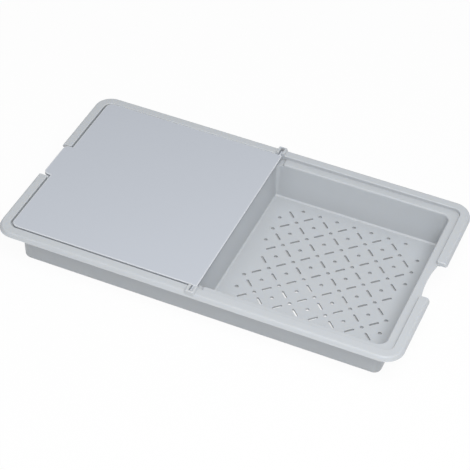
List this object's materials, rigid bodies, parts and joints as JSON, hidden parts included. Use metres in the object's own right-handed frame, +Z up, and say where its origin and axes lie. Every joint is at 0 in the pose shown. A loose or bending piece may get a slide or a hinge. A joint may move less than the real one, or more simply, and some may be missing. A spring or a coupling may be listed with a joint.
{
  "type": "kitchen tray with flip-over cutting board",
  "caption": "Moulded two-basin tray with a perforated drain floor, finger notches at both ends and a cutting board that turns over from one basin to the other.",
  "frame": {"origin": "middle of the base outline, on the plane that the tray stands on", "axes": "+X along the tray towards the perforated basin, +Y across it, +Z up"},
  "size_m": [0.5, 0.292, 0.0583],
  "materials": {
    "tray_plastic": "fine satin moulded polypropylene, light cool grey",
    "board_plastic": "fine matte polypropylene, light cool grey"
  },
  "bodies": {
    "tray": {"tray_body": "tray_plastic"},
    "board": {"cutting_board": "board_plastic"}
  },
  "joints": [
    {"name": "board_turn", "type": "hinge", "parent": "tray", "child": "board", "pos_m": [0, 0, 0.0531], "axis": [0, 1, 0], "range_deg": [0, 180]}
  ]
}
